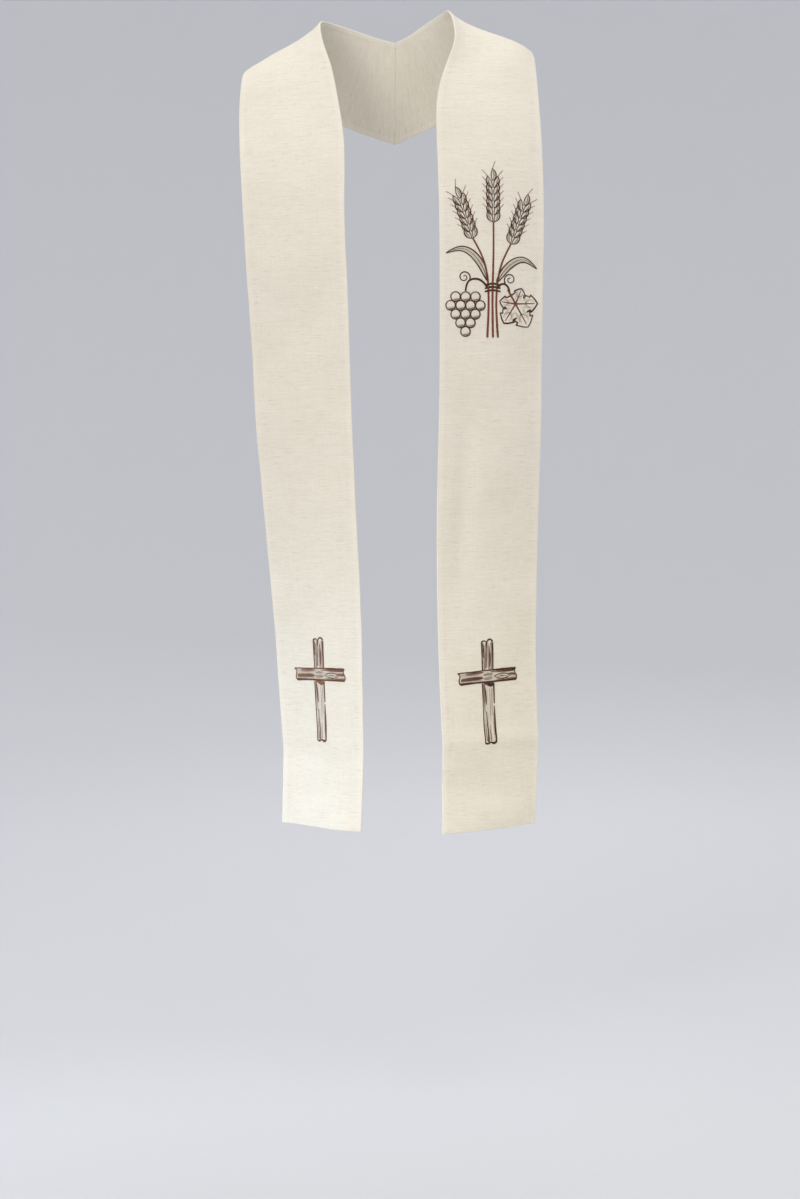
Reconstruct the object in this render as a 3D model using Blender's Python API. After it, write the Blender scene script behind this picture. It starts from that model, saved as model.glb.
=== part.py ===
# A clerical stole as it is worn: two halves of one long band, each from its hem up the
# chest, over a shoulder and round to the centre back seam. Metres, +Z up, front to -Y.
import bpy
import numpy as np

for old in list(bpy.data.objects):
    bpy.data.objects.remove(old, do_unlink=True)

MM = 0.001
WALL = 2.4  # face cloth, stiffening and backing together, mm
SEAM_GAP = 0.3  # between the two halves at the centre back, mm
ALONG = 104  # cells from hem to seam
ACROSS = 12  # cells from inner to outer edge
IVORY = (0.80, 0.75, 0.65, 1.0)

# Each row is one line across the band, from the hem up: the two ends of that line in mm from
# the nape, how far its middle swells outwards, and how far it rolls towards its outer end.
COLUMNS = ("inner x", "inner y", "inner z", "outer x", "outer y", "outer z", "bulge", "roll")

RIGHT_ROWS = {
    "hem": (-47, -214, -1128, -162, -124, -1128, 1, -6),
    "lower band": (-44, -210, -1022, -161, -121, -1023, 2, -4),
    "above cross": (-45, -208, -928, -166, -124, -930, 3, -2),
    "below the hip": (-47, -206, -824, -174, -132, -826, 4, 0),
    "hip": (-53, -206, -698, -184, -141, -700, 4, 0),
    "waist": (-58, -205, -593, -193, -150, -595, 4, 0),
    "under breast": (-62, -203, -483, -200, -155, -484, 4, 0),
    "breast": (-66, -199, -358, -207, -159, -360, 5, 0),
    "chest": (-70, -190, -247, -214, -159, -249, 5, 0),
    "upper chest": (-71, -171, -162, -218, -142, -169, 5, 0),
    "collar bone": (-80, -149, -101, -220, -120, -109, 5, 1),
    "front of shoulder": (-91, -128, -49, -218, -97, -68, 5, 2),
    "before the top": (-101, -110, -19, -214, -62, -53, 7, 3),
    "shoulder top": (-107, -80, 12, -204, -33, -61, 8, 4),
    "behind the top": (-100, -44, 23, -181, -5, -73, 8, 4),
    "shoulder blade": (-71, -18, 19, -133, 17, -92, 4, 3),
    "upper back": (-36, -5, 9, -71, 28, -119, 2, 1),
    "seam": (-SEAM_GAP / 2, 0, 0, -SEAM_GAP / 2, 32, -143, 0, 0),
}

LEFT_ROWS = {
    "hem": (66, -210, -1132, 200, -151, -1125, 7, 0),
    "lower band": (67, -207, -1034, 203, -152, -1032, 6, 0),
    "above cross": (63, -205, -936, 201, -152, -935, 5, 0),
    "below the hip": (60, -205, -838, 200, -159, -835, 4, 0),
    "hip": (58, -205, -712, 202, -164, -707, 4, 0),
    "waist": (60, -205, -600, 204, -170, -596, 4, 0),
    "under breast": (62, -203, -489, 206, -172, -487, 4, 0),
    "breast": (62, -199, -365, 207, -175, -365, 4, 0),
    "chest": (61, -190, -247, 208, -169, -249, 5, 0),
    "upper chest": (58, -171, -148, 205, -150, -148, 5, 1),
    "collar bone": (61, -152, -90, 202, -123, -83, 5, 2),
    "front of shoulder": (74, -132, -45, 199, -97, -46, 4, 4),
    "before the top": (84, -110, -5, 193, -68, -25, 4, 5),
    "shoulder top": (78, -78, 30, 185, -38, -31, 6, 5),
    "behind the top": (69, -41, 36, 166, -6, -47, 5, 5),
    "shoulder blade": (48, -16, 27, 126, 17, -74, 2, 3),
    "upper back": (24, -4, 12, 70, 28, -110, 2, 1),
    "seam": (SEAM_GAP / 2, 0, 0, SEAM_GAP / 2, 32, -143, 0, 0),
}


def smooth_through(knots, values, at):
    """A cubic curve with even bending through values at knots, read at the places in at."""
    count = len(knots)
    step = np.diff(knots)
    slope = np.diff(values, axis=0) / step[:, None]
    matrix = np.eye(count)
    right = np.zeros_like(values)
    for i in range(1, count - 1):
        matrix[i, i - 1] = step[i - 1]
        matrix[i, i] = 2.0 * (step[i - 1] + step[i])
        matrix[i, i + 1] = step[i]
        right[i] = 6.0 * (slope[i] - slope[i - 1])
    bend = np.linalg.solve(matrix, right)
    cell = np.clip(np.searchsorted(knots, at, side="right") - 1, 0, count - 2)
    size = step[cell][:, None]
    low = (knots[cell + 1] - at)[:, None] / size
    high = 1.0 - low
    curve = low * values[cell] + high * values[cell + 1]
    curve += ((low**3 - low) * bend[cell] + (high**3 - high) * bend[cell + 1]) * size**2 / 6.0
    return curve


def unit(vectors):
    return vectors / np.linalg.norm(vectors, axis=-1, keepdims=True)


def middle_surface(rows, side):
    """The grid of points half way through the cloth, from hem to seam and inner to outer."""
    table = np.array(list(rows.values()), dtype=float)
    middle = (table[:, 0:3] + table[:, 3:6]) / 2.0
    length = np.linalg.norm(np.diff(middle, axis=0), axis=1)
    knots = np.concatenate([[0.0], np.cumsum(length)])
    at = np.linspace(0.0, knots[-1], ALONG + 1)
    line = dict(zip(COLUMNS, smooth_through(knots, table, at).T))
    inner = np.stack([line["inner x"], line["inner y"], line["inner z"]], axis=1)
    outer = np.stack([line["outer x"], line["outer y"], line["outer z"]], axis=1)
    upward = np.gradient((inner + outer) / 2.0, axis=0)
    outward = side * unit(np.cross(outer - inner, upward))
    outward[-1, 0] = 0.0  # the last line stays in the middle plane
    share = np.linspace(0.0, 1.0, ACROSS + 1)
    swell = 4.0 * share * (1.0 - share)
    turn = 10.4 * share * (1.0 - share) * (2.0 * share - 1.0)
    rise = np.outer(line["bulge"], swell) + np.outer(line["roll"], turn)
    flat = inner[:, None] + (outer - inner)[:, None] * share[None, :, None]
    return flat + outward[:, None] * rise[:, :, None]


def facing(grid, side):
    """The outward direction at each point of the grid."""
    up = np.gradient(grid, axis=0)
    across = np.gradient(grid, axis=1)
    out = side * np.cross(across, up)
    out[-1, :, 0] = 0.0  # the two halves meet in the middle plane
    return unit(out)


def cloth_wall(name, rows, side):
    """A closed wall of cloth WALL thick on the band's middle surface."""
    grid = middle_surface(rows, side)
    out = facing(grid, side)
    front = (grid + out * WALL / 2.0) * MM
    back = (grid - out * WALL / 2.0) * MM
    points = np.concatenate([front.reshape(-1, 3), back.reshape(-1, 3)])
    wide = ACROSS + 1
    half = (ALONG + 1) * wide
    faces = []
    for i in range(ALONG):
        for j in range(ACROSS):
            a = i * wide + j
            b = a + 1
            c = b + wide
            d = a + wide
            faces.append((a, b, c, d))
            faces.append((d + half, c + half, b + half, a + half))
    rim = [(i * wide, (i + 1) * wide) for i in range(ALONG)]
    rim += [(ALONG * wide + j, ALONG * wide + j + 1) for j in range(ACROSS)]
    rim += [((i + 1) * wide + ACROSS, i * wide + ACROSS) for i in range(ALONG)]
    rim += [(j + 1, j) for j in range(ACROSS)]
    for a, b in rim:
        faces.append((a, b, b + half, a + half))
    if side < 0:
        faces = [tuple(reversed(face)) for face in faces]
    mesh = bpy.data.meshes.new(name)
    mesh.from_pydata(points.tolist(), [], faces)
    mesh.update()
    for polygon in mesh.polygons:
        polygon.use_smooth = True
    band = bpy.data.objects.new(name, mesh)
    bpy.context.collection.objects.link(band)
    material = bpy.data.materials.new(name + "_cloth")
    material.use_nodes = True
    shader = material.node_tree.nodes["Principled BSDF"]
    shader.inputs["Base Color"].default_value = IVORY
    shader.inputs["Roughness"].default_value = 0.9
    mesh.materials.append(material)
    return band


cloth_wall("right_band", RIGHT_ROWS, -1)
cloth_wall("left_band", LEFT_ROWS, 1)
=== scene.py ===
import math
import bpy
import numpy as np
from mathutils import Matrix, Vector


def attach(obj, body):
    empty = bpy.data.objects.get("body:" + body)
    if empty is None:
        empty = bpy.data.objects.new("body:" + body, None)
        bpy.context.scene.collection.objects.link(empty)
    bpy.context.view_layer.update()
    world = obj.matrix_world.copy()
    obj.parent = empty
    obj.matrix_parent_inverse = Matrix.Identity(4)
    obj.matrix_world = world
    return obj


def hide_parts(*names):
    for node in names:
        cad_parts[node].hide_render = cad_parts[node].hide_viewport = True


# A clerical stole as it is worn: two halves of one long band of ivory linen, with a stitched
# cross near each hem and a stitched motif on the chest. Metres, +Z up, front to -Y.
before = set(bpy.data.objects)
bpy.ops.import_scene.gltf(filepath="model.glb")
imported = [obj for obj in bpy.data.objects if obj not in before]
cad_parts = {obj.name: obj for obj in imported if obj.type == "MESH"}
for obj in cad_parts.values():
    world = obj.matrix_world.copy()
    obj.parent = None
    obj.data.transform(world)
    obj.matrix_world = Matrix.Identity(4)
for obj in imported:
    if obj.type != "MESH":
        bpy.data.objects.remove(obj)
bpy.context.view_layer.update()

MM = 0.001
WIDTH = 147.0  # finished width of the band, mm
SEAM_GAP = 0.3  # between the halves at the centre back, mm
SEAM_CALM = 60.0  # how far from that seam the cloth lies without creases, mm
CLOTH = 1.8  # face cloth, stiffening and backing pressed together, mm
TURNING = 9.0  # cloth turned in along the long edges, mm
HEM_TURNING = 17.0  # cloth turned up at the hem, mm
FRONT_RIDGE = 0.20  # how far the turnings show through on the front, mm
BACK_RIDGE = 0.30  # the same on the back, mm
BACK_GROOVE = 0.28  # the groove where the backing is sewn to the turnings, mm
STEP = 2.9  # size of the mesh's cells away from the edges, mm
THREAD = 0.5  # thickness of the embroidery thread, mm
THREAD_PITCH = 0.45  # from one satin stitch to the next, mm
OPEN_PITCH = 0.95  # the same in pale grounds, where the cloth shows through, mm
LEAF_PITCH = 0.8  # the same in the ground of a leaf, mm
PLY_TURN = 0.6  # from turn to turn of the thread's twist, mm
WARP_SPACING = 1.0  # from one lengthwise yarn of the linen to the next as drawn, mm
WEFT_SPACING = 1.05  # the same for the yarns that run across, mm
HARVEST_MIDDLE = 72.0  # across the band from its inner edge to the chest motif's middle, mm
HARVEST_FOOT = 692.0  # along the band from the hem to the foot of the chest motif, mm
FLOOR_HEIGHT = -1.50  # of the studio's floor, from the nape, m

# Each row is one line across the band, from the hem up: the two ends of that line in mm from
# the nape, how far its middle swells outwards, and how far it rolls towards its outer end.
COLUMNS = ("inner x", "inner y", "inner z", "outer x", "outer y", "outer z", "bulge", "roll")

RIGHT_ROWS = {
    "hem": (-47, -214, -1128, -162, -124, -1128, 1, -6),
    "lower band": (-44, -210, -1022, -161, -121, -1023, 2, -4),
    "above cross": (-45, -208, -928, -166, -124, -930, 3, -2),
    "below the hip": (-47, -206, -824, -174, -132, -826, 4, 0),
    "hip": (-53, -206, -698, -184, -141, -700, 4, 0),
    "waist": (-58, -205, -593, -193, -150, -595, 4, 0),
    "under breast": (-62, -203, -483, -200, -155, -484, 4, 0),
    "breast": (-66, -199, -358, -207, -159, -360, 5, 0),
    "chest": (-70, -190, -247, -214, -159, -249, 5, 0),
    "upper chest": (-71, -171, -162, -218, -142, -169, 5, 0),
    "collar bone": (-80, -149, -101, -220, -120, -109, 5, 1),
    "front of shoulder": (-91, -128, -49, -218, -97, -68, 5, 2),
    "before the top": (-101, -110, -19, -214, -62, -53, 7, 3),
    "shoulder top": (-107, -80, 12, -204, -33, -61, 8, 4),
    "behind the top": (-100, -44, 23, -181, -5, -73, 8, 4),
    "shoulder blade": (-71, -18, 19, -133, 17, -92, 4, 3),
    "upper back": (-36, -5, 9, -71, 28, -119, 2, 1),
    "seam": (-SEAM_GAP / 2, 0, 0, -SEAM_GAP / 2, 32, -143, 0, 0),
}

LEFT_ROWS = {
    "hem": (66, -210, -1132, 200, -151, -1125, 7, 0),
    "lower band": (67, -207, -1034, 203, -152, -1032, 6, 0),
    "above cross": (63, -205, -936, 201, -152, -935, 5, 0),
    "below the hip": (60, -205, -838, 200, -159, -835, 4, 0),
    "hip": (58, -205, -712, 202, -164, -707, 4, 0),
    "waist": (60, -205, -600, 204, -170, -596, 4, 0),
    "under breast": (62, -203, -489, 206, -172, -487, 4, 0),
    "breast": (62, -199, -365, 207, -175, -365, 4, 0),
    "chest": (61, -190, -247, 208, -169, -249, 5, 0),
    "upper chest": (58, -171, -148, 205, -150, -148, 5, 1),
    "collar bone": (61, -152, -90, 202, -123, -83, 5, 2),
    "front of shoulder": (74, -132, -45, 199, -97, -46, 4, 4),
    "before the top": (84, -110, -5, 193, -68, -25, 4, 5),
    "shoulder top": (78, -78, 30, 185, -38, -31, 6, 5),
    "behind the top": (69, -41, 36, 166, -6, -47, 5, 5),
    "shoulder blade": (48, -16, 27, 126, 17, -74, 2, 3),
    "upper back": (24, -4, 12, 70, 28, -110, 2, 1),
    "seam": (SEAM_GAP / 2, 0, 0, SEAM_GAP / 2, 32, -143, 0, 0),
}

# Soft creases, placed one by one. Mm along the band from the hem and across it from the inner
# edge to the crease's middle, its length, its turn in degrees from straight across towards
# along the band, the half width of its slope, and its height, which is below 0 in a trough.
CREASE_COLUMNS = ("along", "across", "length", "turn", "width", "height")

RIGHT_CREASES = {
    "kick above the hem": (8, 80, 190, 4, 46, 5.0),
    "dip below the cross": (100, 92, 210, 7, 16, -3.0),
    "long hollow by the cross": (250, 112, 300, 84, 17, -1.0),
    "soft fold below the waist": (455, 92, 170, -16, 30, 1.5),
    "dip at the hip": (520, 60, 130, -22, 24, -1.1),
    "long hollow at the waist": (690, 34, 330, 93, 18, -0.9),
    "ridge at the breast": (785, 88, 210, -9, 34, 1.0),
    "drag from the neck": (985, 22, 90, 58, 11, -0.9),
    "drag over the collar bone": (1028, 62, 150, -14, 17, -0.9),
    "fold at the shoulder point": (1112, 128, 80, 24, 10, 0.8),
    "dip behind the shoulder": (1204, 66, 120, 18, 14, -1.1),
    "drag at the back of the neck": (1262, 18, 64, 40, 9, -0.9),
    "ridge on the shoulder blade": (1290, 96, 110, -12, 15, 0.9),
}

LEFT_CREASES = {
    "kick above the hem": (20, 104, 120, 8, 18, 0.8),
    "dip above the hem": (64, 46, 210, -5, 29, -6.4),
    "step below the cross": (127, 66, 260, 0, 13, 3.4),
    "dip beside the cross": (232, 122, 130, 70, 14, -0.8),
    "long hollow below the waist": (470, 38, 340, 88, 16, -4.0),
    "soft fold below the waist": (495, 88, 170, 14, 30, 1.2),
    "long ridge at the waist": (640, 98, 280, 96, 22, 0.9),
    "dip under the breast": (700, 40, 180, 12, 26, -1.0),
    "drag from the neck": (968, 20, 80, -52, 11, -0.8),
    "drag over the collar bone": (1040, 72, 150, 12, 16, -0.9),
    "fold at the shoulder point": (1108, 124, 90, -26, 11, 0.9),
    "dip behind the shoulder": (1215, 60, 130, -16, 14, -1.1),
    "drag at the back of the neck": (1280, 20, 60, -42, 9, -0.8),
    "ridge on the shoulder blade": (1300, 92, 120, 10, 16, 0.8),
}


def smooth_through(knots, values, at):
    """A cubic curve with even bending through values at knots, read at the places in at."""
    count = len(knots)
    step = np.diff(knots)
    slope = np.diff(values, axis=0) / step[:, None]
    matrix = np.eye(count)
    right = np.zeros_like(values)
    for i in range(1, count - 1):
        matrix[i, i - 1] = step[i - 1]
        matrix[i, i] = 2.0 * (step[i - 1] + step[i])
        matrix[i, i + 1] = step[i]
        right[i] = 6.0 * (slope[i] - slope[i - 1])
    bend = np.linalg.solve(matrix, right)
    cell = np.clip(np.searchsorted(knots, at, side="right") - 1, 0, count - 2)
    size = step[cell][:, None]
    low = (knots[cell + 1] - at)[:, None] / size
    high = 1.0 - low
    curve = low * values[cell] + high * values[cell + 1]
    curve += ((low**3 - low) * bend[cell] + (high**3 - high) * bend[cell + 1]) * size**2 / 6.0
    return curve


def unit(vectors):
    """The same ways with a length of 1."""
    return vectors / np.linalg.norm(vectors, axis=-1, keepdims=True)


def lengths(points):
    """The distance along a line of points, from 0 at its start."""
    return np.concatenate([[0.0], np.cumsum(np.linalg.norm(np.diff(points, axis=0), axis=1))])


def ease(low, high, value):
    """0 below low and 1 above high, with a soft rise between them."""
    share = np.clip((value - low) / (high - low), 0.0, 1.0)
    return share * share * (3.0 - 2.0 * share)


def places(size, first, last):
    """Where the mesh's lines lie along a size: close together at both ends, even between."""
    middle = np.linspace(first[-1], size - last[-1], int((size - first[-1] - last[-1]) / STEP) + 1)
    return np.concatenate([first[:-1], middle, size - np.array(last[:-1])[::-1]])


# Where the mesh's lines lie, in mm from a long edge, from the hem and from the centre back: close
# together where the cloth rounds an edge or steps down from a turning.
EDGE_LINES = [0.0, 0.12, 0.4, 0.8, 1.3, 2.2, 4.0, 6.0, 7.6, 8.6, 9.4, 10.4, 12.0, 14.5]
HEM_LINES = [0.0, 0.12, 0.4, 0.8, 1.3, 2.2, 4.0, 7.0, 10.5, 14.0, 16.0, 17.2, 18.4, 20.0, 22.5]
SEAM_LINES = [0.0, 0.15, 0.5, 1.0, 1.6, 2.6, 4.4]

# The swells of the cloth, each row with its length and its height, and the lengths of the small
# puckers that the turnings draw along the edges. All in mm.
SWELLS = ((310, 0.55), (190, 0.42), (120, 0.26), (74, 0.16), (46, 0.09), (29, 0.05))
PUCKERS = (21.0, 13.0, 8.5)
PUCKER_HEIGHT = 0.055
PUCKER_REACH = 11.0  # how far they reach in from the edge, mm


def slack(across, along, seed):
    """The slight unevenness of stiffened cloth: long shallow swells and, at the edges, puckers."""
    dice = np.random.default_rng(seed)
    height = np.zeros(np.broadcast(across, along).shape)
    for span, size in SWELLS:
        for _ in range(3):
            turn = dice.uniform(-0.9, 0.9)
            start = dice.uniform(0, 2 * math.pi)
            wave = along * math.cos(turn) / span + across * math.sin(turn) / (span * 0.7)
            height = height + size * 0.58 * np.sin(2 * math.pi * wave + start)
    for edge in (across, WIDTH - across):
        for span in PUCKERS:
            start = dice.uniform(0, 2 * math.pi)
            sway = 2.2 * np.sin(along / 57.0 + start)
            pucker = np.sin(2 * math.pi * along / span + start + sway)
            height = height + PUCKER_HEIGHT * pucker * np.exp(-((edge / PUCKER_REACH) ** 2))
    return height


def creased(across, along, creases):
    """How far the creases lift the cloth outwards at each place."""
    height = np.zeros(np.broadcast(across, along).shape)
    for row in creases.values():
        crease = dict(zip(CREASE_COLUMNS, row))
        turn = math.radians(crease["turn"])
        right = across - crease["across"]
        up = along - crease["along"]
        down_slope = (up * math.cos(turn) - right * math.sin(turn)) / crease["width"]
        lengthwise = (right * math.cos(turn) + up * math.sin(turn)) / (crease["length"] / 2.0)
        fade = np.clip(1.0 - lengthwise**2, 0.0, 1.0) ** 1.5
        height = height + crease["height"] * np.exp(-(down_slope**2)) * fade
    return height


def rounded(distance, radius):
    """The share of full thickness at a distance from a rounded edge."""
    return np.sqrt(1.0 - (1.0 - np.clip(distance / radius, 0.0, 1.0)) ** 2)


class Band:
    """One half of the stole on its worn form, with its flat sizes in mm."""

    def __init__(self, rows, creases, side, seed):
        self.side = side
        table = np.array(list(rows.values()), dtype=float)
        middle = (table[:, 0:3] + table[:, 3:6]) / 2.0
        knots = lengths(middle)
        fine = np.linspace(0.0, knots[-1], 2000)  # short steps, to measure the length by
        ends = smooth_through(knots, table, fine)
        run = lengths((ends[:, 0:3] + ends[:, 3:6]) / 2.0)
        self.length = run[-1]
        self.along = places(self.length, HEM_LINES, SEAM_LINES)
        self.across = places(WIDTH, EDGE_LINES, EDGE_LINES)
        at = np.interp(self.along, run, fine)
        line = dict(zip(COLUMNS, smooth_through(knots, table, at).T))
        inner = np.stack([line["inner x"], line["inner y"], line["inner z"]], axis=1)
        outer = np.stack([line["outer x"], line["outer y"], line["outer z"]], axis=1)
        upward = np.gradient((inner + outer) / 2.0, axis=0)
        outward = side * unit(np.cross(outer - inner, upward))
        outward[-1, 0] = 0.0
        share = self.across / WIDTH
        swell = 4.0 * share * (1.0 - share)  # 1 in the middle and 0 at both edges
        roll = 10.4 * share * (1.0 - share) * (2.0 * share - 1.0)  # -1 near the inner edge, then 1
        rise = np.outer(line["bulge"], swell) + np.outer(line["roll"], roll)
        grid = inner[:, None] + (outer - inner)[:, None] * share[None, :, None]
        grid = grid + outward[:, None] * rise[:, :, None]
        across, along = np.meshgrid(self.across, self.along)
        calm = ease(0.0, SEAM_CALM, self.length - along)
        lift = slack(across, along, seed) + creased(across, along, creases)
        grid = grid + self.facing(grid) * (lift * calm)[:, :, None]
        out = self.facing(grid)
        self.front = grid + out * self.depth(across, along, FRONT_RIDGE, 0.0)[:, :, None]
        self.back = grid - out * self.depth(across, along, BACK_RIDGE, BACK_GROOVE)[:, :, None]
        for face in (self.front, self.back):
            face[:, :, 0] = side * np.maximum(side * face[:, :, 0], SEAM_GAP / 2.0)

    def facing(self, grid):
        """The outward direction at each point of a grid."""
        out = self.side * np.cross(np.gradient(grid, axis=1), np.gradient(grid, axis=0))
        out[-1, :, 0] = 0.0
        return unit(out)

    def depth(self, across, along, ridge, groove):
        """From the cloth's middle to its face: thicker over the turnings, round at the edges."""
        edge = np.minimum(across, WIDTH - across)
        slope = 1.2  # half the width of the step down from a turning, mm
        over_turning = 1.0 - ease(TURNING - slope, TURNING + slope, edge)
        over_hem = 1.0 - ease(HEM_TURNING - slope, HEM_TURNING + slope, along)
        depth = CLOTH / 2.0 + ridge * np.maximum(over_turning, over_hem)
        valley = np.exp(-(((edge - TURNING) / 0.7) ** 2)) * (along > HEM_TURNING)
        valley += np.exp(-(((along - HEM_TURNING) / 0.9) ** 2)) * (edge > TURNING)
        depth = depth - groove * np.clip(valley, 0.0, 1.0)
        fold, seam = 1.1, 0.9  # how round the folded edges and the seam are, mm
        rim = rounded(edge, fold) * rounded(along, fold) * rounded(self.length - along, seam)
        return depth * rim

    def spot(self, across, along):
        """Points on the front of the cloth, with their outward, crosswise and lengthwise ways."""
        row = np.interp(along, self.along, np.arange(len(self.along)))
        column = np.interp(across, self.across, np.arange(len(self.across)))
        i = np.minimum(row.astype(int), len(self.along) - 2)
        j = np.minimum(column.astype(int), len(self.across) - 2)
        v = (row - i)[..., None]
        u = (column - j)[..., None]
        low_left = self.front[i, j]
        low_right = self.front[i, j + 1]
        high_left = self.front[i + 1, j]
        high_right = self.front[i + 1, j + 1]
        point = (1 - v) * ((1 - u) * low_left + u * low_right)
        point = point + v * ((1 - u) * high_left + u * high_right)
        crosswise = unit((1 - v) * (low_right - low_left) + v * (high_right - high_left))
        lengthwise = unit((1 - u) * (high_left - low_left) + u * (high_right - low_right))
        out = unit(np.cross(crosswise, lengthwise)) * self.side
        return point, out, crosswise, lengthwise


def new_object(name, points, faces, materials, body):
    """A smooth mesh from points in mm, which rides on a body if one is named."""
    mesh = bpy.data.meshes.new(name)
    mesh.from_pydata((points * MM).tolist(), [], faces)
    mesh.update()
    mesh.polygons.foreach_set("use_smooth", np.ones(len(faces), bool))
    for material in materials:
        mesh.materials.append(material)
    piece = bpy.data.objects.new(name, mesh)
    bpy.context.scene.collection.objects.link(piece)
    if body:
        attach(piece, body)
    return piece


def set_map(piece, name, coordinates):
    """Gives each corner of each face its place on a flat map."""
    flat_map = piece.data.uv_layers.new(name=name)
    flat_map.data.foreach_set("uv", np.asarray(coordinates, np.float32).ravel())


def sew_band(name, band, material):
    """The closed skin of one half: its front and back faces share the points of the rim."""
    rows = len(band.along)
    columns = len(band.across)
    margin = 0.02  # of each strip's width, left free on the map that the colours are baked to
    foot = 0.01  # the same of its height
    front_index = np.arange(rows * columns).reshape(rows, columns)
    back_index = front_index.copy()
    inside = np.zeros((rows, columns), bool)
    inside[1:-1, 1:-1] = True
    back_index[inside] = rows * columns + np.arange(inside.sum())
    points = np.concatenate([band.front.reshape(-1, 3), band.back[inside]])
    rim = ~inside
    points[front_index[rim]] = (band.front[rim] + band.back[rim]) / 2.0
    faces = []
    flat = []
    bake = []
    half = rows // 2
    for index, turned in ((front_index, band.side < 0), (back_index, band.side > 0)):
        back_side = index is back_index
        for i in range(rows - 1):
            upper = i >= half
            low = band.along[half] if upper else 0.0
            high = band.length if upper else band.along[half]
            column = 2 * back_side + upper
            for j in range(columns - 1):
                corners = [(i, j), (i, j + 1), (i + 1, j + 1), (i + 1, j)]
                if turned:
                    corners.reverse()
                faces.append(tuple(int(index[corner]) for corner in corners))
                for r, c in corners:
                    flat.append((band.across[c] * MM, band.along[r] * MM))
                    u = (column + margin + (1 - 2 * margin) * band.across[c] / WIDTH) / 4.0
                    v = foot + (1 - 2 * foot) * (band.along[r] - low) / (high - low)
                    bake.append((u, v))
    piece = new_object(name, points, faces, [material], "root")
    set_map(piece, "OFBake", bake)
    set_map(piece, "cloth", flat)
    return piece


# The threads in the order of a piece's materials, and how far each lies above the cloth in mm:
# the pale grounds are stitched first and the dark lines over them.
UMBER, RUSSET, MAUVE, ASH, DEEP = range(5)
BED = (0.30, 0.20, 0.12, 0.0, 0.36)
SUNK = -0.2  # the height of a stitch's two ends, which go down into the cloth, mm


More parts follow.
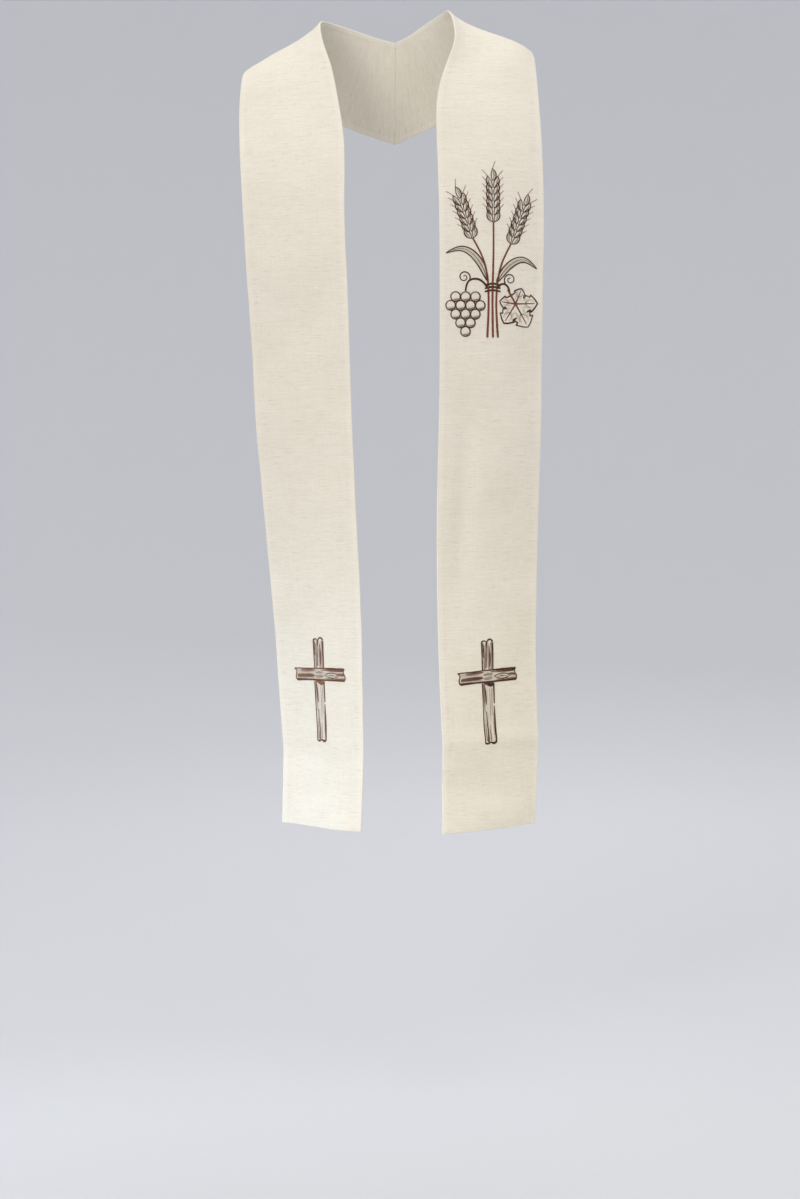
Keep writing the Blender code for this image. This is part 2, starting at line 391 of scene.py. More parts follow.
class Embroidery:
    """Satin stitch on one band, gathered until it is made into one piece.

    Its strokes are given in mm to the viewer's right of a place on the band and up from it."""

    def __init__(self, band, across, along, seed, lean=0.0):
        self.band = band
        self.place = np.array((across, along))
        self.lean = lean
        self.dice = np.random.default_rng(seed)
        self.points = []
        self.thread = []
        self.reach = []

    def stroke(self, points, width, thread, pitch=THREAD_PITCH, sharp=False):
        """Lays stitches side by side along a line through points, as wide as width says."""
        drawn = np.asarray(points, float) if sharp else curve(points)
        climb = drawn[:, 0] * self.lean
        path = self.place + np.stack([drawn[:, 0] * self.band.side, drawn[:, 1] + climb], axis=1)
        run = lengths(path)
        count = max(2, int(run[-1] / pitch) + 1)
        at = np.linspace(0.0, run[-1], count)
        centre = np.stack([np.interp(at, run, path[:, k]) for k in (0, 1)], axis=1)
        ahead = unit(np.gradient(centre, axis=0) + 1e-9)
        sideways = np.stack([-ahead[:, 1], ahead[:, 0]], axis=1)
        widths = np.atleast_1d(np.asarray(width, float))
        wide = np.interp(at / run[-1], np.linspace(0.0, 1.0, len(widths)), widths)
        wide = wide * (1.0 + 0.06 * self.dice.standard_normal(count))
        slant = ahead * pitch * 0.45  # each stitch leans towards the next one
        start = centre - sideways * wide[:, None] / 2.0 - slant
        end = centre + sideways * wide[:, None] / 2.0 + slant
        stations = np.array([0.0, 0.2, 0.8, 1.0])  # a stitch comes up, runs flat and goes down
        flat = start[:, None] + (end - start)[:, None] * stations[None, :, None]
        point, out, crosswise, lengthwise = self.band.spot(flat[..., 0], flat[..., 1])
        ahead3 = crosswise * ahead[:, None, 0:1] + lengthwise * ahead[:, None, 1:2]
        crown = np.clip(0.16 + 0.06 * wide, 0.2, 0.34) + 0.03 * self.dice.standard_normal(count)
        crown = crown + BED[thread]
        height = np.stack([np.full(count, SUNK), crown, crown, np.full(count, SUNK)], axis=1)
        middle = point + out * height[..., None]
        radius = THREAD / 2.0
        corners = ((-0.95, -0.35), (0.0, 1.0), (0.95, -0.35))  # of its section, crowned on top
        ring = [middle + ahead3 * radius * x + out * radius * z for x, z in corners]
        self.points.append(np.stack(ring, axis=2))
        self.thread.append(np.full(count, thread))
        self.reach.append(wide)

    def hatch(self, thread, start, end, width, columns):
        """Open stitches over a straight strip, in ragged columns side by side."""
        start = np.asarray(start, float)
        end = np.asarray(end, float)
        ahead = unit(end - start)
        beside = np.array((-ahead[1], ahead[0]))
        for k in range(columns):
            offset = beside * ((k + 0.5) / columns - 0.5) * width
            trim = self.dice.uniform(0.0, 2.4, 2)
            ends = (start + offset + ahead * trim[0], end + offset - ahead * trim[1])
            self.stroke(ends, np.array((0.7, 0.96, 0.8)) * width / columns, thread, OPEN_PITCH)

    def piece(self, name, materials):
        """All the stitches as one mesh of closed threads, each with a place of its own to bake."""
        points = np.concatenate(self.points)
        thread = np.concatenate(self.thread)
        reach = np.concatenate(self.reach)
        count = len(points)
        stations = points.shape[1]
        side = math.ceil(math.sqrt(count))  # cells in a row of the map that colours are baked to
        margin = 0.1  # of each cell, left free round its thread
        first = np.arange(count)[:, None] * stations * 3
        patterns = [(0, 2, 1)]
        places_on_map = [((0, 0), (0, 2), (0, 1))]
        for s in range(stations - 1):
            for c in range(3):
                d = (c + 1) % 3
                patterns.append((s * 3 + c, s * 3 + d, s * 3 + 3 + d, s * 3 + 3 + c))
                places_on_map.append(((s, c), (s, c + 1), (s + 1, c + 1), (s + 1, c)))
        last = (stations - 1) * 3
        patterns.append((last, last + 1, last + 2))
        places_on_map.append(((stations - 1, 0), (stations - 1, 1), (stations - 1, 2)))
        faces = []
        owner = []
        bake = []
        own = []
        number = np.arange(count)
        cell = np.stack([number % side, number // side], axis=1)
        turn = self.band.side  # the faces turn the other way round on the right half
        for pattern, spots in zip(patterns, places_on_map):
            faces += (first + np.array(pattern)[::turn]).tolist()
            owner.append(thread)
            spots = np.array(spots, float)[::turn] / (stations - 1, 3.0)
            bake.append((cell[:, None] + margin + (1 - 2 * margin) * spots[None]) / side)
            lengthwise = spots[None, :, 0] * reach[:, None] * MM
            own.append(np.stack([lengthwise, np.repeat(number[:, None], len(spots), 1)], axis=2))
        piece = new_object(name, points.reshape(-1, 3), faces, materials, "root")
        piece.data.polygons.foreach_set("material_index", np.concatenate(owner).astype(np.int32))
        set_map(piece, "OFBake", np.concatenate([part.reshape(-1, 2) for part in bake]))
        set_map(piece, "thread", np.concatenate([part.reshape(-1, 2) for part in own]))
        return piece


def curve(points, step=0.6):
    """A smooth line through a few points."""
    points = np.asarray(points, float)
    if len(points) < 3:
        return points
    knots = lengths(points)
    return smooth_through(knots, points, np.linspace(0.0, knots[-1], int(knots[-1] / step) + 2))


def moved(points, shift, turn=0.0, grow=1.0):
    """Points made larger, turned by degrees to the left and moved."""
    angle = math.radians(turn)
    points = np.asarray(points, float) * grow
    x = points[:, 0] * math.cos(angle) - points[:, 1] * math.sin(angle)
    y = points[:, 0] * math.sin(angle) + points[:, 1] * math.cos(angle)
    return np.stack([x + shift[0], y + shift[1]], axis=1)


# The cross of two hewn beams, in mm to the right of its middle and up from its foot. Its grounds
# are open stitches: thread, start, end, width and columns. Its grain is drawn over them:
# each row is one stroke, with its thread, its widths from end to end and its points.
CROSS_FILLS = {
    "upright above": (ASH, (0, 105), (0, 145), 15.4, 4),
    "upright above, middle": (MAUVE, (-0.2, 106), (-0.6, 139), 4.8, 2),
    "upright below": (ASH, (0, 85), (0, 3), 15.6, 4),
    "bar": (ASH, (-40.5, 96), (42.5, 96), 15.0, 4),
    "bar upper left": (MAUVE, (-33, 101), (-9, 101.4), 4.2, 2),
    "bar lower left": (MAUVE, (-40.4, 93), (-9, 93.4), 7.2, 3),
    "bar middle": (MAUVE, (-8, 96), (8, 96.4), 9.0, 2),
    "bar right end": (MAUVE, (27, 96), (43, 95.6), 5.8, 2),
    "bar lower right": (MAUVE, (10, 90.4), (43, 90.2), 2.8, 1),
}
CROSS_STROKES = {
    "left side, above": (UMBER, (2.0, 1.9, 3.0), ((-7.9, 104), (-8.1, 122), (-7.9, 144))),
    "left side, inner line": (UMBER, (1.0, 2.0, 1.0), ((-6.0, 142), (-6.0, 133), (-6.2, 123))),
    "right side, above": (UMBER, (2.2, 2.4, 2.9), ((7.6, 104), (7.9, 124), (7.8, 143))),
    "top, left": (UMBER, (2.6, 1.6, 1.4), ((-8.2, 144.6), (-5.8, 146.2), (-3, 145.8), (-1.4, 143))),
    "top, right": (UMBER, (1.8, 2.6, 2.6), ((-0.9, 143.8), (1.6, 147.2), (4.8, 148), (7.9, 144.4))),
    "grain above, left": (UMBER, (1.5, 2.2, 1.0), ((-2.0, 142), (-2.2, 126), (-2.8, 108))),
    "grain above, left shade": (MAUVE, (1.6, 2.6, 2.2), ((-4.6, 140), (-4.9, 124), (-4.6, 105))),
    "split at the top": (UMBER, (2.4, 2.2, 1.0), ((-0.6, 144), (-1.4, 138), (-2.6, 131))),
    "grain above, middle": (RUSSET, (1.4, 2.9, 1.6), ((2.6, 139), (2.9, 124), (2.1, 106))),
    "grain above, hair line": (UMBER, (0.8, 1.4, 0.8), ((3.6, 130), (3.8, 121), (3.2, 110))),
    "grain above, right": (MAUVE, (2.0, 2.4, 2.0), ((5.4, 143), (5.5, 124), (5.2, 105))),
    "left side, below": (UMBER, (2.0, 1.2, 1.5, 1.9), ((-8.7, 86), (-8.7, 60), (-8.6, 30), (-8.4, 2.4))),
    "right side, below": (UMBER, (2.5, 2.1, 1.5), ((8.2, 86), (8.3, 73), (8.3, 57))),
    "right side, foot": (UMBER, (1.4, 2.4, 3.0, 2.6), ((8.1, 53), (8.3, 36), (8.4, 18), (8.2, 3))),
    "grain below, left shade": (MAUVE, (2.6, 2.8, 1.0), ((-6.5, 85), (-6.5, 68), (-6.2, 44))),
    "grain below, wedge": (UMBER, (1.3, 2.7, 2.6, 0.8), ((-5.8, 84), (-5.1, 76), (-4.4, 67), (-3.8, 56))),
    "grain below, long line": (UMBER, (0.8, 1.4, 2.0, 2.8), ((-4.1, 46), (-3.4, 31), (-2.7, 18), (-3.4, 3))),
    "grain below, middle": (MAUVE, (0.8, 1.2, 0.8), ((1.4, 79), (1.8, 56), (1.2, 36))),
    "grain below, middle foot": (MAUVE, (0.8, 2.0, 2.2), ((0.9, 27), (0.8, 14), (0.6, 4))),
    "grain below, right": (MAUVE, (0.7, 0.9, 0.7), ((4.4, 78), (4.6, 58), (4.4, 40))),
    "grain beside the right side": (MAUVE, (0.9, 1.5, 0.9), ((6.4, 44), (6.5, 29), (6.3, 12))),
    "grain at the foot": (RUSSET, (0.8, 1.6), ((-5.9, 28), (-5.6, 5))),
    "foot, left": (UMBER, (2.2, 2.9, 2.3, 1.6), ((-8.4, 2.3), (-5.6, 0.8), (-2.4, 1.4), (-0.5, 3))),
    "foot, right": (UMBER, (1.6, 3.2, 3.8, 2.6), ((-0.3, 2.8), (2.8, 1.3), (6.1, 1.2), (8.3, 3.3))),
    "shade under the bar": (RUSSET, (2.8, 5, 7, 3.4), ((-6.6, 86), (-1, 85.2), (4, 83.6), (8, 85.8))),
    "deep shade": (DEEP, (2.0, 3.8, 6.4, 2.4), ((-5.0, 86), (0, 85.2), (4.6, 83.5), (8, 85.6))),
    "bar top side": (UMBER, (1.8, 1.4, 1.8, 3.0, 3.2), ((-44.4, 103), (-22, 103.8), (0, 104.4), (43, 104))),
    "bar under side": (UMBER, (4, 2.6, 2.5, 2.8, 3.2), ((-41, 87.1), (-22, 87.8), (0, 88), (43.6, 88.2))),
    "bar left end": (UMBER, (2.0, 1.6, 2.4), ((-44.4, 103.2), (-41.2, 98.4), (-42.6, 94), (-41.6, 87.2))),
    "bar right end": (UMBER, (2.2, 1.6, 2.6), ((42.8, 104.2), (41.4, 99.6), (44.2, 94), (43.6, 88.4))),
    "bar upper, left": (RUSSET, (1.2, 3, 3.6, 1.8), ((-33, 101), (-25, 101.4), (-17, 101.6), (-7, 102))),
    "bar upper line, left": (UMBER, (0.8, 1.8, 0.9), ((-31, 101.8), (-21, 102.3), (-11, 102.4))),
    "bar upper, right": (RUSSET, (1.4, 3, 3.4, 2.6), ((4, 102.2), (17, 101.8), (30, 101.4), (41, 101.4))),
    "bar upper line, right": (UMBER, (0.8, 1.6, 2.2), ((14, 102.2), (28, 102.0), (41, 101.8))),
    "bar lower, left": (RUSSET, (3.6, 5.4, 5.6, 2.8), ((-40, 92.6), (-31, 93.2), (-20, 93.6), (-8, 94))),
    "bar lower line": (UMBER, (1.2, 2.0, 3.6, 1.8), ((-38, 94.4), (-28, 94.4), (-18, 94.6), (-9, 94.4))),
    "bar lower line, second": (UMBER, (0.9, 1.7, 0.9), ((-36, 91.6), (-25, 92.2), (-14, 92.4))),
    "bar upper hair line, left": (MAUVE, (0.8, 1.2, 0.8), ((-39, 99.6), (-28, 99.0), (-14, 98.6))),
    "worn middle, arch": (UMBER, (0.8, 1.3, 0.8), ((-4.6, 97.2), (0, 99.0), (4.8, 97.4))),
    "worn middle, line": (MAUVE, (0.8, 1.5, 0.8), ((-6.4, 92.4), (0, 91.4), (6.2, 92.2))),
    "knot, upper side": (UMBER, (1.0, 1.7, 1.3), ((9, 94.8), (18, 98.2), (27, 98.0), (35, 95.6))),
    "knot, under side": (UMBER, (0.9, 1.5, 0.9), ((10, 94.2), (18, 91.8), (27, 91.6), (34, 93.8))),
    "knot, heart": (MAUVE, (1.0, 2.8, 1.0), ((14, 94.6), (22, 95), (30, 94.4))),
    "bar lower, right": (RUSSET, (1.0, 2.0, 2.6), ((14, 90), (28, 90.2), (42, 90.6))),
    "bar end grain, right": (RUSSET, (1.4, 3.6, 3.4), ((30, 96.2), (37, 97), (42.2, 95.8))),
}


def stitch_cross(name, band, middle, foot, lean, materials, seed):
    """The cross on a band, its middle at a share of the width, its bar climbing by lean."""
    work = Embroidery(band, middle * WIDTH, foot, seed, lean)
    for thread, start, end, width, columns in CROSS_FILLS.values():
        work.hatch(thread, start, end, width, columns)
    for thread, widths, points in CROSS_STROKES.values():
        work.stroke(points, widths, thread)
    return work.piece(name, materials)


def wheat_ear(work, foot, turn, pairs, size):
    """An ear of wheat: pairs of grains up a stalk, one on top, each with its beard."""
    # The lines of one grain: points in parts of its size, widths in mm, thread, and pitch in mm.
    grain_lines = (
        (((0.04, 0.16), (0.08, 0.5), (0.02, 0.88)), (1.4, 4.6, 1.2), ASH, OPEN_PITCH),
        (((0, 0), (0.22, 0.22), (0.28, 0.52), (0.17, 0.82), (0, 1.0)), (1.3, 2.3, 1.4), UMBER, 0.6),
        (((0, 0), (-0.1, 0.26), (-0.12, 0.56), (-0.05, 0.84), (0, 1.0)), (1.2, 1.5, 1.2), UMBER, 0.6),
        (((0.08, 0.2), (0.12, 0.5), (0.06, 0.78)), (0.9, 1.7, 0.9), RUSSET, 0.6),
        (((0, 1.0), (0.12, 1.32), (0.24, 1.62)), (1.2, 0.9), MAUVE, 0.56),
    )
    spots = [(way, k) for k in range(pairs) for way in (-1, 1)] + [(0, pairs)]
    for way, k in spots:
        base = (way * size * 0.07, k * size * 0.56)
        for line, widths, thread, pitch in grain_lines:
            drawn = moved(np.array(line) * (way or 1, 1), base, -way * 20.0, size)
            work.stroke(moved(drawn, foot, turn), widths, thread, pitch)


def blade(work, points, width):
    """A long blade of a leaf: its two edges meet at both ends, with a rib between them."""
    middle = curve(points, 3.0)
    ahead = unit(np.gradient(middle, axis=0))
    beside = np.stack([-ahead[:, 1], ahead[:, 0]], axis=1)
    run = np.linspace(0.0, 1.0, len(middle))
    half = (np.sin(math.pi * run**0.8) ** 0.8 * width / 2.0)[:, None]
    work.stroke(middle[2:-2], (1.4, width * 0.8, width * 0.7, 1.2), ASH, LEAF_PITCH)
    work.stroke(middle + beside * half, (2.4, 1.8, 1.4), UMBER)
    work.stroke(middle - beside * half, (1.6, 2.2, 1.4), UMBER)
    work.stroke(middle[1:-3], (1.8, 1.2, 0.9), RUSSET)


def vine_leaf(work, foot, turn, size):
    """A vine leaf with five lobes, a notched edge and a rib to each lobe, in parts of its size."""
    lobes = ((-128, 0.62), (-62, 0.86), (0, 1.0), (62, 0.86), (128, 0.62))
    heart = np.array((0.0, 0.36))
    edge = [np.array((0.0, 0.12))]
    for angle, share in lobes:
        reach = share * 0.66
        way = math.radians(90 - angle)
        ahead = np.array((math.cos(way), math.sin(way)))
        beside = np.array((-ahead[1], ahead[0])) * share
        for along, out in ((0.5, 0.24), (0.66, 0.18), (0.7, 0.25), (0.9, 0.11), (1.0, 0.0)):
            edge.append(heart + ahead * reach * along + beside * out)
        for along, out in ((0.9, -0.11), (0.7, -0.25), (0.66, -0.18), (0.5, -0.24)):
            edge.append(heart + ahead * reach * along + beside * out)
        for out in (-0.1, 0.1):
            fill = (heart + ahead * reach * 0.28 + beside * out, heart + ahead * reach * 0.78 + beside * out)
            work.stroke(moved(fill, foot, turn, size), (2.0, 5.6 * share, 1.6), ASH, LEAF_PITCH)
        rib = (heart, heart + ahead * reach * 0.45, heart + ahead * reach * 0.86)
        work.stroke(moved(rib, foot, turn, size), (2.6, 2.0, 1.2), RUSSET)
        for out in (-0.13, 0.13):
            start = heart + ahead * reach * 0.4
            vein = (start, start + ahead * reach * 0.26 + beside * out)
            work.stroke(moved(vein, foot, turn, size), (1.4, 0.9), MAUVE)
    edge.append(edge[0])
    outline = moved(edge, foot, turn, size)
    work.stroke(outline, (2.2, 1.5, 2.4, 1.5, 2.6, 1.6, 2.2), UMBER, sharp=True)
    work.stroke(moved((heart, (0.0, 0.1), (0.0, -0.04)), foot, turn, size), (2.6, 3.0, 3.2), RUSSET)


def grape_bunch(work, top, rows, size):
    """A bunch of grapes: rows of round berries, each with a shaded side."""
    for k, count in enumerate(rows):
        for n in range(count):
            centre = np.array(top) + ((n - (count - 1) / 2.0) * size * 1.02, -k * size * 0.88)
            # Each arc's ends in degrees, its radius in parts of the size, widths, thread and pitch.
            for first, last, share, widths, thread, pitch in (
                (215, 350, 0.26, (1.4, size * 0.32, 1.4), ASH, OPEN_PITCH),
                (230, 325, 0.33, (0.9, 2.0, 0.9), RUSSET, 0.56),
                (100, 460, 0.49, (1.5, 1.9, 2.5, 1.5), UMBER, 0.58),
            ):
                angle = np.radians(np.linspace(first, last, 14))
                arc = centre + np.stack([np.cos(angle), np.sin(angle)], axis=1) * size * share
                work.stroke(arc, widths, thread, pitch)


def tendril(work, start, turn, size, hand):
    """A curling tendril that winds inwards."""
    wind = np.linspace(0.0, 1.0, 24)
    angle = hand * wind * 2 * math.pi * 1.4
    radius = size * (1.0 - wind) ** 0.85 + 1.4
    coil = np.stack([size + 1.4 - radius * np.cos(angle), radius * np.sin(angle)], axis=1)
    work.stroke(moved(coil, start, turn), (2.0, 1.7, 1.3), UMBER)


def stitch_harvest(name, band, materials, seed):
    """Wheat, a vine leaf and grapes on the chest, in the place and scale of line embroidery."""
    work = Embroidery(band, HARVEST_MIDDLE, HARVEST_FOOT, seed)
    for points, turn in (
        (((-5, 0), (-4, 66), (-10, 104), (-26, 137)), 18.0),
        (((10, 0), (8, 66), (14, 100), (28, 130)), -19.0),
        (((3, 0), (2, 66), (3, 116), (3, 160)), 0.0),
    ):
        work.stroke(points, (3.4, 3.0, 2.6), RUSSET)
        wheat_ear(work, points[-1], turn, 6, 17.0)
    blade(work, ((-5, 78), (-18, 106), (-40, 122), (-63, 116)), 9.0)
    blade(work, ((8, 76), (24, 98), (44, 108), (65, 96)), 9.0)
    for height in (64.0, 68.5, 73.0):
        work.stroke(((-9, height - 1), (2, height + 1.2), (13, height - 0.6)), (2.6, 3.4, 2.6), UMBER)
    work.stroke(((-6, 70), (-18, 80), (-31, 78), (-36, 64)), (3.4, 3.0, 2.6), UMBER)
    grape_bunch(work, (-36, 56), (3, 4, 3, 2, 1), 13.6)
    work.stroke(((10, 70), (16, 74), (22, 72), (26, 64)), (3.4, 3.0, 3.0), UMBER)
    vine_leaf(work, (25, 64), -150.0, 56.0)
    tendril(work, (20, 75), 38.0, 7.0, 1)
    tendril(work, (-30, 80), 160.0, 7.0, -1)
    return work.piece(name, materials)


def srgb(code):
    """A hex colour as the linear numbers that a shader takes."""
    parts = [int(code[i : i + 2], 16) / 255.0 for i in (1, 3, 5)]
    return tuple(p / 12.92 if p <= 0.04045 else ((p + 0.055) / 1.055) ** 2.4 for p in parts) + (1.0,)


def node(tree, kind, inputs=None, **settings):
    """Adds a node with its settings, and links or fills its inputs by name or number."""
    made = tree.nodes.new(kind)
    for key, value in settings.items():
        setattr(made, key, value)
    for key, value in (inputs or {}).items():
        if isinstance(value, bpy.types.NodeSocket):
            tree.links.new(value, made.inputs[key])
        else:
            made.inputs[key].default_value = value
    return made


def empty_material(name):
    """A material with nothing in it yet, and its tree of nodes."""
    material = bpy.data.materials.new(name)
    material.use_nodes = True
    material.node_tree.nodes.clear()
    return material, material.node_tree


def woven_ivory_linen():
    """Slubbed linen, plain woven and pressed: matt, ivory, with fine uneven dashes across.

    Bast yarn is spun uneven, so the eye sees short thick places in the threads that run across
    the band, a shade paler or darker than the ground, and hardly any gloss."""
    material, tree = empty_material("woven_ivory_linen")
    flat = node(tree, "ShaderNodeUVMap", uv_map="cloth").outputs["UV"]
    to_mm = (1 / MM, 1 / MM, 1.0)
    mm = node(tree, "ShaderNodeVectorMath", {0: flat, 1: to_mm}, operation="MULTIPLY").outputs[0]

    # Each uneven thing in the cloth: how many mm its patches reach across the band and along it,
    # and its detail. Slubs are drawn 1.6 mm high, coarser than the yarn, so that they show.
    uneven = {}
    for name, wide, tall, detail in (
        ("drift of the weft", 34.0, 3.2, 1.0),
        ("closeness of the weft", 60.0, 4.4, 2.0),
        ("slub", 18.0, 1.6, 2.0),
        ("fine slub", 6.0, 1.1, 1.0),
        ("thickness of the warp", 1.7, 46.0, 2.0),
        ("bleaching", 80.0, 46.0, 1.0),
    ):
        size = (1 / wide, 1 / tall, 1.0)
        patches = node(tree, "ShaderNodeVectorMath", {0: mm, 1: size}, operation="MULTIPLY").outputs[0]
        inputs = {"Vector": patches, "Scale": 1.0, "Detail": detail, "Roughness": 0.5}
        uneven[name] = node(tree, "ShaderNodeTexNoise", inputs, noise_dimensions="2D").outputs["Fac"]

    # Yarn spacing: about 0.7 mm in the cloth, drawn at about 1 mm so that it shows from nearer by.
    split = node(tree, "ShaderNodeSeparateXYZ", {0: mm})
    across, along = split.outputs[0], split.outputs[1]
    inputs = {0: uneven["drift of the weft"], 1: 0.9, 2: along}
    weft_place = node(tree, "ShaderNodeMath", inputs, operation="MULTIPLY_ADD").outputs[0]
    yarns = []
    for place, spacing in ((across, WARP_SPACING), (weft_place, WEFT_SPACING)):
        inputs = {0: place, 1: math.pi / spacing}
        turn = node(tree, "ShaderNodeMath", inputs, operation="MULTIPLY").outputs[0]
        wave = node(tree, "ShaderNodeMath", {0: turn}, operation="SINE").outputs[0]
        height = node(tree, "ShaderNodeMath", {0: wave}, operation="ABSOLUTE").outputs[0]
        # Across itself a yarn is round, and along itself it stays high until it dives under.
        crown = node(tree, "ShaderNodeMath", {0: height, 1: 0.7}, operation="POWER").outputs[0]
        shoulder = node(tree, "ShaderNodeMath", {0: height, 1: 0.25}, operation="POWER").outputs[0]
        yarns.append((wave, crown, shoulder))
    (warp_wave, warp_crown, warp_shoulder), (weft_wave, weft_crown, weft_shoulder) = yarns
    crossing = node(tree, "ShaderNodeMath", {0: warp_wave, 1: weft_wave}, operation="MULTIPLY").outputs[0]
    warp_on_top = node(tree, "ShaderNodeMath", {0: crossing, 1: 0.0}, operation="GREATER_THAN").outputs[0]
    warp = node(tree, "ShaderNodeMath", {0: warp_crown, 1: weft_shoulder}, operation="MULTIPLY").outputs[0]
    weft = node(tree, "ShaderNodeMath", {0: weft_crown, 1: warp_shoulder}, operation="MULTIPLY").outputs[0]
    weave = node(tree, "ShaderNodeMix", {0: warp_on_top, 2: weft, 3: warp}, data_type="FLOAT").outputs[0]

    # A narrow strip along each long edge is painted paler. Partly this is the turnings under it, which stop
    # light showing through the cloth.
    # Partly it is a painted highlight, where the rolled edge catches the light.
    from_outer = node(tree, "ShaderNodeMath", {0: WIDTH, 1: across}, operation="SUBTRACT").outputs[0]
    edge = node(tree, "ShaderNodeMath", {0: across, 1: from_outer}, operation="MINIMUM").outputs[0]

    # From the ground up: what shows, from where to where it grows, how strong, and its colour.
    inputs = {0: uneven["bleaching"], 6: srgb("#e2dbcc"), 7: srgb("#eae4d7")}
    colour = node(tree, "ShaderNodeMix", inputs, data_type="RGBA").outputs[2]
    for source, start, end, strength, tint in (
        (uneven["closeness of the weft"], 0.36, 0.66, 0.20, "#d3c9b6"),
        (uneven["slub"], 0.59, 0.75, 0.42, "#f4eee2"),
        (uneven["slub"], 0.38, 0.27, 0.60, "#cfc4af"),
        (uneven["thickness of the warp"], 0.35, 0.65, 0.22, "#f0eadc"),
        (uneven["fine slub"], 0.58, 0.40, 0.15, "#cfc5b2"),
        # painted shade: darker where the weave is low, in the hollows between the yarns
        (weave, 0.75, 0.10, 0.42, "#b9ad96"),
        # painted highlight along the rolled long edges, together with the turnings' real paleness
        (edge, 10.0, 5.0, 0.13, "#f6f1e6"),
    ):
        share = node(tree, "ShaderNodeMapRange", {0: source, 1: start, 2: end, 4: strength}).outputs[0]
        inputs = {0: share, 6: colour, 7: srgb(tint)}
        colour = node(tree, "ShaderNodeMix", inputs, data_type="RGBA").outputs[2]

    height = weave
    for source, share in (("slub", 0.65), ("thickness of the warp", 0.5)):
        inputs = {0: uneven[source], 1: share, 2: height}
        height = node(tree, "ShaderNodeMath", inputs, operation="MULTIPLY_ADD").outputs[0]
    bump = node(tree, "ShaderNodeBump", {"Strength": 0.55, "Distance": 0.00030, "Height": height})
    rough = node(tree, "ShaderNodeMapRange", {0: weave, 3: 0.96, 4: 0.84}).outputs[0]
    shader = node(
        tree,
        "ShaderNodeBsdfPrincipled",
        {
            "Base Color": colour,
            "Roughness": rough,
            "Normal": bump.outputs[0],
            "IOR": 1.5,
            "Specular IOR Level": 0.3,
            "Sheen Weight": 0.25,
            "Sheen Roughness": 0.6,
            "Sheen Tint": srgb("#f7f0e2"),
        },
    )
    node(tree, "ShaderNodeOutputMaterial", {"Surface": shader.outputs[0]})
    return material


def mercerised_thread(name, dark, light):
    """Mercerised cotton embroidery thread, dyed and laid in satin stitch: a low silky gleam.

    No two stitches take the light alike, so each is a little paler or darker than the next."""
    material, tree = empty_material(name)
    own = node(tree, "ShaderNodeUVMap", uv_map="thread").outputs["UV"]
    split = node(tree, "ShaderNodeSeparateXYZ", {0: own})

    # Each stitch has a tone of its own, and the dye drifts a little over some thirty of them.
    number = node(tree, "ShaderNodeMath", {0: split.outputs[1], 1: 0.5}, operation="ADD").outputs[0]
    whole = node(tree, "ShaderNodeMath", {0: number}, operation="FLOOR").outputs[0]
    stitch = node(tree, "ShaderNodeTexWhiteNoise", {"W": whole}, noise_dimensions="1D").outputs["Value"]
    inputs = {"W": split.outputs[1], "Scale": 0.03, "Detail": 2.0}
    patch = node(tree, "ShaderNodeTexNoise", inputs, noise_dimensions="1D").outputs["Fac"]
    share = node(tree, "ShaderNodeMath", {0: stitch, 1: 0.5, 2: patch}, operation="MULTIPLY_ADD").outputs[0]
    share = node(tree, "ShaderNodeMapRange", {0: share, 1: 0.35, 2: 1.1}).outputs[0]
    inputs = {0: share, 6: srgb(dark), 7: srgb(light)}
    colour = node(tree, "ShaderNodeMix", inputs, data_type="RGBA").outputs[2]

    # The ply's twist, in its real size: it shows only from close by.
    inputs = {0: split.outputs[0], 1: 2 * math.pi / (PLY_TURN * MM)}
    turns = node(tree, "ShaderNodeMath", inputs, operation="MULTIPLY").outputs[0]
    twist = node(tree, "ShaderNodeMath", {0: turns}, operation="SINE").outputs[0]
    bump = node(tree, "ShaderNodeBump", {"Strength": 0.3, "Distance": 0.00008, "Height": twist})
    rough = node(tree, "ShaderNodeMapRange", {0: stitch, 3: 0.48, 4: 0.62}).outputs[0]
    shader = node(
        tree,
        "ShaderNodeBsdfPrincipled",
        {
            "Base Color": colour,
            "Roughness": rough,
            "Normal": bump.outputs[0],
            "IOR": 1.5,
            "Specular IOR Level": 0.3,
            "Sheen Weight": 0.06,
            "Sheen Roughness": 0.4,
        },
    )
    node(tree, "ShaderNodeOutputMaterial", {"Surface": shader.outputs[0]})
    return material


def studio_paper():
    """Matt grey studio paper: an even, quiet ground for the ivory cloth."""
    material, tree = empty_material("matt_studio_paper")
    shader = node(tree, "ShaderNodeBsdfPrincipled", {"Base Color": srgb("#c9cacd"), "Roughness": 0.95})
    node(tree, "ShaderNodeOutputMaterial", {"Surface": shader.outputs[0]})
    return material


def studio(floor_height):
    """A round sweep of paper: a flat floor that curves up into a low wall on every side."""
    radius = 7.0  # m, as the next two
    bend = 4.0
    wall = 5.0
    around = 96  # flats round the sweep
    profile = [(0.0, 0.0)]
    for angle in np.radians(np.linspace(0, 90, 13)):
        profile.append((radius - bend + bend * math.sin(angle), bend - bend * math.cos(angle)))
    profile.append((radius, wall))
    points = []
    for reach, height in profile:
        for k in range(around):
            angle = 2 * math.pi * k / around
            points.append((reach * math.cos(angle), reach * math.sin(angle), floor_height + height))
    faces = []
    for ring in range(len(profile) - 1):
        for k in range(around):
            a = ring * around + k
            b = ring * around + (k + 1) % around
            faces.append((a, b, b + around, a + around))
    sweep = new_object("studio_sweep", np.array(points) / MM, faces, [studio_paper()], None)


def soft_light(name, place, aim, size, power, colour, spread):
    """A round soft box at a place, turned to its aim."""
    lamp = bpy.data.lights.new(name, "AREA")
    lamp.shape = "DISK"
    lamp.size = size
    lamp.energy = power
    lamp.color = srgb(colour)[:3]
    lamp.spread = math.radians(spread)
    light = bpy.data.objects.new(name, lamp)
    light.location = place
    light.visible_camera = False
    way = np.array(aim, float) - np.array(place, float)
    light.rotation_euler = Vector(way).to_track_quat("-Z", "Y").to_euler()
    bpy.context.scene.collection.objects.link(light)


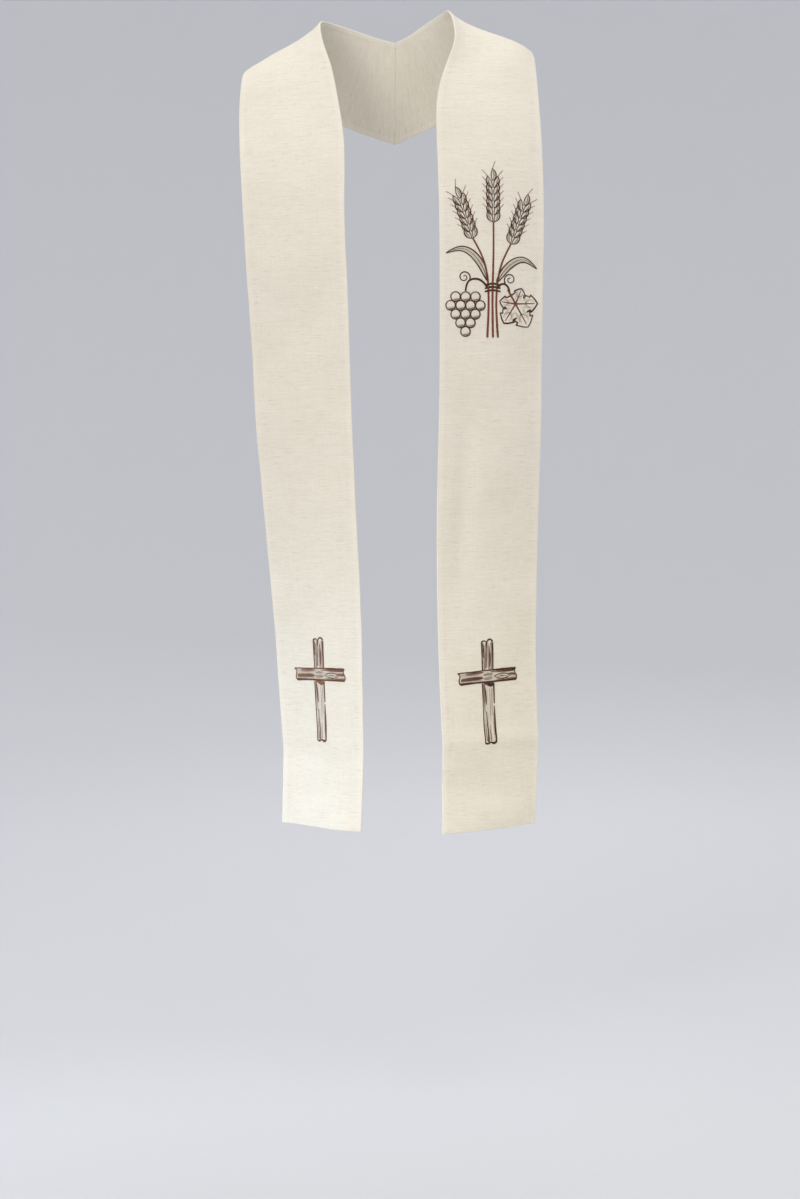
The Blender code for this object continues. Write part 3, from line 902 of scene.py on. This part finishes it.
# The soft boxes: name, place and aim in m, width in m, power in W, colour, and spread in degrees.
# The two low ones lift the ends of the bands, the left one cool and the right one warm.
SOFT_LIGHTS = (
    ("key", (-1.7, -3.0, 0.6), (0.0, -0.1, -0.65), 1.6, 42.0, "#fffaf2", 180.0),
    ("low_left", (-1.35, -0.80, -1.22), (-0.10, -0.17, -1.22), 0.45, 0.92, "#d6e9ff", 50.0),
    ("low_right", (1.3, -1.4, -1.15), (0.20, -0.15, -1.20), 0.6, 0.5, "#f8edc6", 50.0),
    ("high_right", (0.9, -1.6, 0.6), (0.1, -0.1, -0.2), 0.8, 3.0, "#fff8ee", 180.0),
    ("top", (0.6, -0.5, 2.1), (0.0, -0.1, -0.2), 1.4, 8.0, "#ffffff", 180.0),
    ("back", (0.6, 3.2, 1.0), (0.0, 0.0, -0.5), 1.8, 20.0, "#ffffff", 180.0),
)

linen = woven_ivory_linen()
umber = mercerised_thread("umber_cotton_thread", "#3d2316", "#603c28")
mauve = mercerised_thread("mauve_cotton_thread", "#8c6d60", "#b39587")
ash = mercerised_thread("ash_cotton_thread", "#d8d0c1", "#ebe5d8")
russet = mercerised_thread("russet_cotton_thread", "#78402e", "#9a5c45")
walnut = mercerised_thread("walnut_cotton_thread", "#664536", "#896552")
sable = mercerised_thread("sable_cotton_thread", "#22150e", "#3b291d")
chestnut = mercerised_thread("chestnut_cotton_thread", "#654637", "#8c6855")
cinnamon = mercerised_thread("cinnamon_cotton_thread", "#84594a", "#a97d6b")
rose = mercerised_thread("rose_cotton_thread", "#a3887a", "#c5afa0")
rust = mercerised_thread("rust_cotton_thread", "#96512f", "#b56e4a")
motif_threads = [umber, russet, mauve, ash]
left_cross_threads = [umber, walnut, mauve, ash, sable]
right_cross_threads = [chestnut, cinnamon, rose, ash, rust]

right = Band(RIGHT_ROWS, RIGHT_CREASES, -1, seed=3)
left = Band(LEFT_ROWS, LEFT_CREASES, 1, seed=8)
right_half = sew_band("right_half", right, linen)
left_half = sew_band("left_half", left, linen)
right_cross = stitch_cross("right_cross", right, 0.484, 122.6, 0.002, right_cross_threads, seed=11)
left_cross = stitch_cross("left_cross", left, 0.482, 121.6, 0.044, left_cross_threads, seed=12)
harvest = stitch_harvest("harvest_motif", left, motif_threads, seed=13)

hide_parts("right_band")
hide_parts("left_band")

studio(FLOOR_HEIGHT)
for lamp in SOFT_LIGHTS:
    soft_light(*lamp)

world = bpy.data.worlds.new("studio_air")
world.use_nodes = True
air = world.node_tree.nodes["Background"]
air.inputs["Color"].default_value = srgb("#f4f5f8")
air.inputs["Strength"].default_value = 1.2
bpy.context.scene.world = world
bpy.context.scene.view_settings.view_transform = "Standard"

tilt_down = 3.577  # degrees
camera_data = bpy.data.cameras.new("camera")
camera_data.lens = 71.8
camera_data.sensor_width = 36.0
camera = bpy.data.objects.new("camera", camera_data)
camera.location = (0.0071, -3.539, -0.5934)
camera.rotation_euler = (math.radians(90.0 - tilt_down), 0.0, 0.0)
bpy.context.scene.collection.objects.link(camera)
bpy.context.scene.camera = camera
